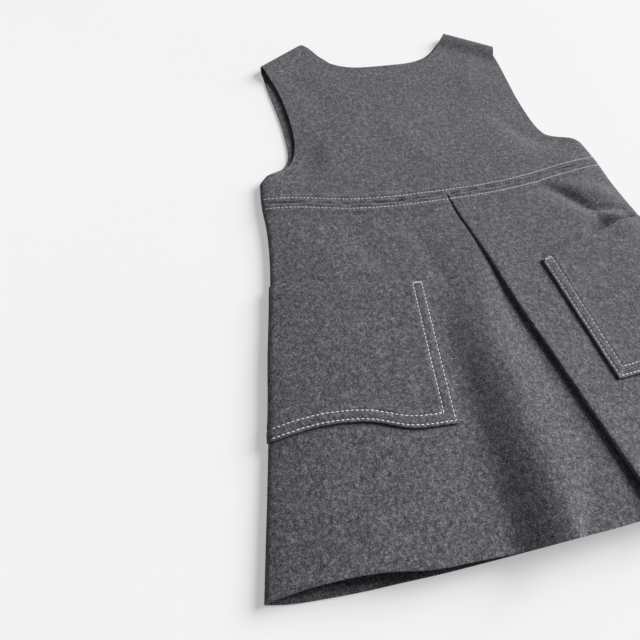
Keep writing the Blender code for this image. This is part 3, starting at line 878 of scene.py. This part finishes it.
@dataclass(frozen=True)
class Topstitching:
    """Rows of stitches that lie on the cloth, each one sunk at its ends."""

    pitch: float = 3.2
    length: float = 2.6
    width: float = 0.85
    height: float = 0.62
    proud: float = 0.1
    sway: float = 0.1
    uneven: tuple[float, float] = (0.94, 1.05)

    def row(self, shape: bmesh.types.BMesh, path: Sequence[Vector], ups: Sequence[Vector],
            chance: random.Random) -> None:
        """Lay one row of stitches along a path on the cloth's face.

        Args:
            shape: the mesh that gathers the stitches.
            path: close places along the row.
            ups: the cloth's outward direction at each place.
            chance: the piece's own random numbers.
        """
        lengths = [0.0]
        for a, b in zip(path, path[1:]):
            lengths.append(lengths[-1] + (b - a).length)
        count = round(lengths[-1] / self.pitch)
        step = lengths[-1] / count

        def spot(distance: float) -> tuple[Vector, Vector]:
            """The place and the outward direction at a distance along the row."""
            i = min(max(bisect_right(lengths, distance) - 1, 0), len(path) - 2)
            share = (distance - lengths[i]) / (lengths[i + 1] - lengths[i])
            return path[i].lerp(path[i + 1], share), ups[i].lerp(ups[i + 1], share)

        for i in range(count):
            middle, up = spot((i + 0.5) * step)
            start, _ = spot((i + 0.1) * step)
            end, _ = spot((i + 0.9) * step)
            run = (end - start).normalized()
            side = up.cross(run) * chance.uniform(-self.sway, self.sway)
            add_strand(shape, middle + up * self.proud + side * 0.5, run + side * 0.6, up,
                       self.length * chance.uniform(*self.uneven), self.width, self.height)


@dataclass(frozen=True)
class BarTack:
    """A short, dense bar of stitches that closes a pocket's corner."""

    length: float = 6.5
    pitch: float = 0.55
    reach: float = 1.5
    width: float = 0.62
    proud: float = 0.12
    slant: float = 0.22

    def lay(self, shape: bmesh.types.BMesh, middle: Vector, along_it: Vector, up: Vector) -> None:
        """Lay the bar's strands side by side."""
        run = along_it.normalized()
        across = up.cross(run).normalized()
        count = round(self.length / self.pitch)
        for i in range(count + 1):
            place = middle + run * (self.length * (i / count - 0.5)) + up * self.proud
            add_strand(shape, place, across + run * self.slant, up, self.reach, self.width,
                       self.width)


class NodeSheet:
    """A node tree that is written one linked node at a time."""

    def __init__(self, tree: bpy.types.NodeTree) -> None:
        """Keep the tree to add nodes to."""
        self.tree = tree

    def add(self, kind: str, inputs: dict[str | int, object] | None = None, **settings: object
            ) -> bpy.types.Node:
        """Add a node.

        Args:
            kind: the node's type name.
            inputs: values, or sockets to link, by the input's name or index.
            **settings: the node's own properties.

        Returns:
            The new node.
        """
        node = self.tree.nodes.new(kind)
        for key, value in settings.items():
            setattr(node, key, value)
        self.fill(node, inputs or {})
        return node

    def fill(self, node: bpy.types.Node, inputs: dict[str | int, object]) -> None:
        """Set a node's inputs to values, or link them where a socket is given."""
        for key, value in inputs.items():
            if isinstance(value, bpy.types.NodeSocket):
                self.tree.links.new(value, node.inputs[key])
            else:
                node.inputs[key].default_value = value

    def math(self, operation: str, a: object, b: object) -> bpy.types.NodeSocket:
        """The result of a sum of two values."""
        return self.add("ShaderNodeMath", {0: a, 1: b}, operation=operation).outputs[0]

    def noise(self, place: bpy.types.NodeSocket, scale: float, **inputs: float
              ) -> bpy.types.NodeSocket:
        """A noise's value at a place; the other inputs go by their names."""
        inputs = {"Vector": place, "Scale": scale, **inputs}
        return self.add("ShaderNodeTexNoise", inputs).outputs["Fac"]

    def colours(self, share: bpy.types.NodeSocket, *colours: Colour) -> bpy.types.NodeSocket:
        """A colour between the given ones, which lie evenly from 0 to 1."""
        node = self.add("ShaderNodeValToRGB", {"Fac": share})
        stops = node.color_ramp.elements
        stops[0].color, stops[1].color = colours[0], colours[-1]
        for i, colour in enumerate(colours[1:-1], 1):
            stops.new(i / (len(colours) - 1)).color = colour
        return node.outputs["Color"]

    def bump(self, height: bpy.types.NodeSocket, strength: float, depth: float
             ) -> bpy.types.NodeSocket:
        """The normal over a height, with its depth in millimetres."""
        inputs = {"Strength": strength, "Distance": depth * MM, "Height": height}
        return self.add("ShaderNodeBump", inputs).outputs["Normal"]

    def ramp(self, value: bpy.types.NodeSocket, low: float, high: float,
             to_low: float = 0.0, to_high: float = 1.0) -> bpy.types.NodeSocket:
        """A value mapped from one range to another, kept within it."""
        node = self.add("ShaderNodeMapRange", {0: value, 1: low, 2: high, 3: to_low, 4: to_high})
        return node.outputs[0]


def new_material(name: str) -> tuple[bpy.types.Material, NodeSheet, bpy.types.Node]:
    """A new material with its node sheet and its Principled shader."""
    material = bpy.data.materials.new(name)
    material.use_nodes = True
    tree = material.node_tree
    return material, NodeSheet(tree), tree.nodes["Principled BSDF"]


@dataclass(frozen=True)
class Fibres:
    """One layer of drawn-out fibre noise: its angle, its scale and how long it is drawn."""

    angle: float
    scale: float
    drawn: float


@dataclass(frozen=True)
class WoolFinish:
    """Grey melange wool: dark and pale fibres carded together, with a short nap."""

    name: str = "grey melange wool"
    dark: Colour = (0.013, 0.013, 0.016, 1.0)
    middle: Colour = (0.084, 0.0835, 0.096, 1.0)
    pale: Colour = (0.285, 0.285, 0.31, 1.0)
    roughness: float = 0.92
    sheen: float = 0.12
    bump: float = 0.55
    fibres: tuple[Fibres, ...] = (Fibres(0.35, 1500.0, 3.2), Fibres(1.65, 1350.0, 2.8),
                                  Fibres(2.65, 1700.0, 3.4))
    fine_scale: float = 2600.0
    cloud_scale: float = 300.0
    weights: tuple[float, float, float] = (0.60, 0.24, 0.16)
    shades: tuple[float, float] = (0.395, 0.605)

    def group(self) -> bpy.types.ShaderNodeTree:
        """The melange's node group: how pale each fibre is, how high and how rough."""
        tree = bpy.data.node_groups.new("melange", "ShaderNodeTree")
        for name in ("Shade", "Height", "Roughness"):
            tree.interface.new_socket(name, in_out="OUTPUT", socket_type="NodeSocketFloat")
        sheet = NodeSheet(tree)
        place = sheet.add("ShaderNodeTexCoord").outputs["Object"]
        layers = []
        for fibre in self.fibres:
            turned = sheet.add("ShaderNodeMapping", {"Vector": place,
                                                     "Rotation": (0.0, 0.0, fibre.angle),
                                                     "Scale": (fibre.drawn, 1.0, 1.0)},
                               vector_type="TEXTURE")
            layers.append(sheet.noise(turned.outputs[0], fibre.scale, Detail=2.0,
                                      Roughness=0.6, Distortion=0.4))
        total = layers[0]
        for layer in layers[1:]:
            total = sheet.math("ADD", total, layer)
        mean = sheet.math("DIVIDE", total, float(len(layers)))
        fine = sheet.noise(place, self.fine_scale, Detail=1.0, Roughness=0.5)
        cloud = sheet.noise(place, self.cloud_scale, Detail=3.0, Roughness=0.55)
        parts = [sheet.math("MULTIPLY", part, weight)
                 for part, weight in zip((mean, fine, cloud), self.weights)]
        shade = sheet.math("ADD", parts[0], sheet.math("ADD", parts[1], parts[2]))
        sheet.add("NodeGroupOutput", {
            "Shade": sheet.ramp(shade, *self.shades),
            "Height": sheet.math("ADD", mean, sheet.math("MULTIPLY", fine, 0.35)),
            "Roughness": sheet.ramp(cloud, 0.3, 0.7, self.roughness - 0.06,
                                    self.roughness + 0.04)})
        return tree

    def material(self) -> bpy.types.Material:
        """The wool's material."""
        material, sheet, shader = new_material(self.name)
        melange = sheet.add("ShaderNodeGroup", node_tree=self.group()).outputs
        sheet.fill(shader, {
            "Base Color": sheet.colours(melange["Shade"], self.dark, self.middle, self.pale),
            "Roughness": melange["Roughness"],
            "Normal": sheet.bump(melange["Height"], self.bump, 0.25),
            "Sheen Weight": self.sheen, "Sheen Roughness": 0.5, "Specular IOR Level": 0.2})
        return material


@dataclass(frozen=True)
class ThreadFinish:
    """Off-white stitching thread with a fine twist."""

    name: str = "off-white thread"
    dark: Colour = (0.62, 0.615, 0.60, 1.0)
    pale: Colour = (0.86, 0.855, 0.84, 1.0)

    def material(self) -> bpy.types.Material:
        """The thread's material."""
        material, sheet, shader = new_material(self.name)
        place = sheet.add("ShaderNodeTexCoord").outputs["Object"]
        twist = sheet.noise(place, 1500.0, Detail=2.0)
        sheet.fill(shader, {
            "Base Color": sheet.colours(sheet.ramp(twist, 0.3, 0.7), self.dark, self.pale),
            "Roughness": sheet.ramp(twist, 0.3, 0.7, 0.6, 0.75),
            "Normal": sheet.bump(twist, 0.5, 0.1)})
        return material


@dataclass(frozen=True)
class FloorFinish:
    """A plain pale floor, lit a little from below so that its shadows stay light."""

    name: str = "pale floor"
    dark: Colour = (0.515, 0.515, 0.52, 1.0)
    pale: Colour = (0.525, 0.525, 0.525, 1.0)
    glow: float = 0.74

    def material(self) -> bpy.types.Material:
        """The floor's material."""
        material, sheet, shader = new_material(self.name)
        cloud = sheet.noise(sheet.add("ShaderNodeTexCoord").outputs["Object"], 3.0)
        colour = sheet.colours(cloud, self.dark, self.pale)
        sheet.fill(shader, {
            "Base Color": colour, "Emission Color": colour,
            "Roughness": sheet.ramp(cloud, 0.0, 1.0, 0.85, 0.95),
            "Emission Strength": self.glow, "Specular IOR Level": 0.1})
        return material


@dataclass
class Dress:
    """The whole pinafore dress, built from its cut pieces and dressed with its stitches."""

    wool: WoolFinish = WoolFinish()
    thread: ThreadFinish = ThreadFinish()
    topstitching: Topstitching = Topstitching()
    bar_tack: BarTack = BarTack()

    def __post_init__(self) -> None:
        """Make the parts that share the cut, and the two finishes."""
        self.front = BodicePanel(CUT.front_level, CUT.front_armhole, CUT.front_neck,
                                 FRONT_BODICE_WEAR)
        self.back = BodicePanel(CUT.back_level, CUT.back_armhole, CUT.back_neck, BACK_WEAR,
                                armhole_steps=36, shoulder_steps=8, neck_steps=40)
        self.skirt = FrontSkirt()
        self.pockets = {side: PatchPocket(side, self.skirt, rows)
                        for side, rows in POCKET_EDGES.items()}
        self.wool_material = self.wool.material()
        self.thread_material = self.thread.material()

    def cloth(self, node: str, grid: list[list[Vector]], rests_on: Sequence[str],
              stitches: Sequence[bpy.types.Object] = ()) -> bpy.types.Object:
        """Make a wool cloth piece on the root, hide the solid it stands for and log its size and
        area.
        """
        piece = Weave.wall(f"wool_{node}", grid, CUT.cloth)
        piece.data.materials.append(self.wool_material)
        width, length = Weave.flat(grid)
        area = Weave.area(grid)
        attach(piece, ROOT)
        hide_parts(node)
        LOG.info("%s: cut %.0f by %.0f mm, %.4f m2", piece.name, width / MM, length / MM, area)
        return piece

    def stitched(self, name: str, shape: bmesh.types.BMesh) -> bpy.types.Object:
        """Make a piece of thread from the strands gathered in a mesh."""
        piece = linked(name, shape)
        piece.data.materials.append(self.thread_material)
        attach(piece, ROOT)
        LOG.info("%s: %d faces", piece.name, len(piece.data.polygons))
        return piece

    def waist_row(self, name: str, offset: float, place: Callable[[float, float], Vector], seed: int
                  ) -> bpy.types.Object:
        """One row of topstitching beside the waist seam.

        Args:
            name: the piece's name.
            offset: how far above the seam the row runs, below it where negative.
            place: gives the cloth's middle at a place on the panel.
            seed: the start of the row's random numbers.
        """
        reach, step = CUT.side_x(offset) - 1.2, 0.5
        path, ups = [], []
        for x in between(-reach, reach, 400):
            y = CUT.waist_y(x) + offset
            across = place(min(x + step, reach), y) - place(max(x - step, -reach), y)
            rise = place(x, y + step) - place(x, y - step)
            up = across.cross(rise).normalized()
            path.append(place(x, y) + up * CUT.cloth / 2)
            ups.append(up)
        shape = bmesh.new()
        self.topstitching.row(shape, path, ups, random.Random(seed))
        return self.stitched(name, shape)

    def skirt_place(self, x: float, y: float) -> Vector:
        """The top layer of the skirt at a place near the waist."""
        side = Side.LEFT if x < self.skirt.pleat.at("fold", y) else Side.RIGHT
        return self.skirt.place(side, x, y)

    def build_bodice(self) -> None:
        """The front bodice and the two half back bodices."""
        row = self.waist_row("topstitch_bodice", TOPSTITCH_OFFSET, self.front.place, 11)
        halves = {Side.LEFT: "bodice_back_left", Side.RIGHT: "bodice_back_right"}
        self.cloth("bodice_front", self.front.front(), tuple(halves.values()), (row,))
        for side, node in halves.items():
            self.cloth(node, self.back.half(side), (self.floor.name,))

    def build_skirt(self) -> None:
        """The front skirt with its pleat, and the back skirt."""
        row = self.waist_row("topstitch_skirt", -TOPSTITCH_OFFSET, self.skirt_place, 12)
        self.cloth("skirt_front", self.skirt.grid(), ("skirt_back",), (row,))
        self.cloth("skirt_back", BackSkirt().grid(), (self.floor.name,))

    def build_pockets(self) -> None:
        """The two patch pockets with their double rows and bar tacks."""
        for side, node in ((Side.LEFT, "pocket_left"), (Side.RIGHT, "pocket_right")):
            pocket = self.pockets[side]
            shape = bmesh.new()
            chance = random.Random(20 + side.value)
            for offset in POCKET_STITCH_ROWS:
                self.topstitching.row(shape, *pocket.seam(offset), chance)
            middle = sum(POCKET_STITCH_ROWS) / 2 / pocket.width
            place, up = pocket.face(middle, 0.014)
            after, _ = pocket.face(middle + 0.02, 0.014)
            self.bar_tack.lay(shape, place, after - place, up)
            stitches = self.stitched(f"topstitch_{node}", shape)
            self.cloth(node, pocket.grid(), ("skirt_front",), (stitches,))

    def build(self, floor: bpy.types.Object) -> None:
        """Build every piece of the dress, laid on the floor."""
        self.floor = floor
        self.build_bodice()
        self.build_skirt()
        self.build_pockets()


@dataclass
class Studio:
    """A plain pale floor, one soft light from the upper right and the camera."""

    floor_size: float = 8.0
    sun_from: tuple[float, float, float] = (0.90, 0.30, 0.46)
    sun_strength: float = 6.0
    sun_angle: float = 36.0
    world_strength: float = 0.15
    lens: float = 28.853
    eye: Point = Point(-193.96, -239.72)
    eye_height: float = 321.83
    looks_at: Point = Point(-132.17, -70.74)
    looks_at_height: float = 7.0
    tilt: float = 7.722
    finish: FloorFinish = FloorFinish()

    def floor(self) -> bpy.types.Object:
        """The floor at height zero."""
        shape = bmesh.new()
        bmesh.ops.create_grid(shape, x_segments=2, y_segments=2, size=self.floor_size / 2)
        floor = linked("floor", shape)
        floor.data.materials.append(self.finish.material())
        return floor

    def light(self) -> None:
        """The soft key light and the even light from all round."""
        sun = bpy.data.lights.new("key", "SUN")
        sun.energy = self.sun_strength
        sun.angle = math.radians(self.sun_angle)
        key = bpy.data.objects.new("key", sun)
        key.rotation_mode = "QUATERNION"
        key.rotation_quaternion = Vector(self.sun_from).to_track_quat("Z", "Y")
        bpy.context.scene.collection.objects.link(key)
        world = bpy.data.worlds.new("studio")
        world.use_nodes = True
        glow = world.node_tree.nodes["Background"].inputs
        glow["Color"].default_value = (1.0, 1.0, 1.0, 1.0)
        glow["Strength"].default_value = self.world_strength
        bpy.context.scene.world = world

    def camera(self) -> None:
        """The camera above the dress's lower left side, turned towards its middle."""
        lens = bpy.data.cameras.new("camera")
        lens.lens = self.lens
        lens.clip_start = 0.01
        camera = bpy.data.objects.new("camera", lens)
        eye = Vector((*self.eye, self.eye_height)) * MM
        aim = Vector((*self.looks_at, self.looks_at_height)) * MM
        camera.location = eye
        camera.rotation_mode = "QUATERNION"
        roll = Quaternion((0.0, 0.0, 1.0), math.radians(self.tilt))
        camera.rotation_quaternion = (aim - eye).to_track_quat("-Z", "Y") @ roll
        bpy.context.scene.collection.objects.link(camera)
        bpy.context.scene.camera = camera
        bpy.context.scene.view_settings.view_transform = "Standard"


def main() -> None:
    """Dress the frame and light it."""
    logging.basicConfig(level=logging.INFO, format="%(message)s")
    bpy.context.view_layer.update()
    studio = Studio()
    floor = studio.floor()
    Dress().build(floor)
    studio.light()
    studio.camera()


if __name__ == "__main__":
    main()
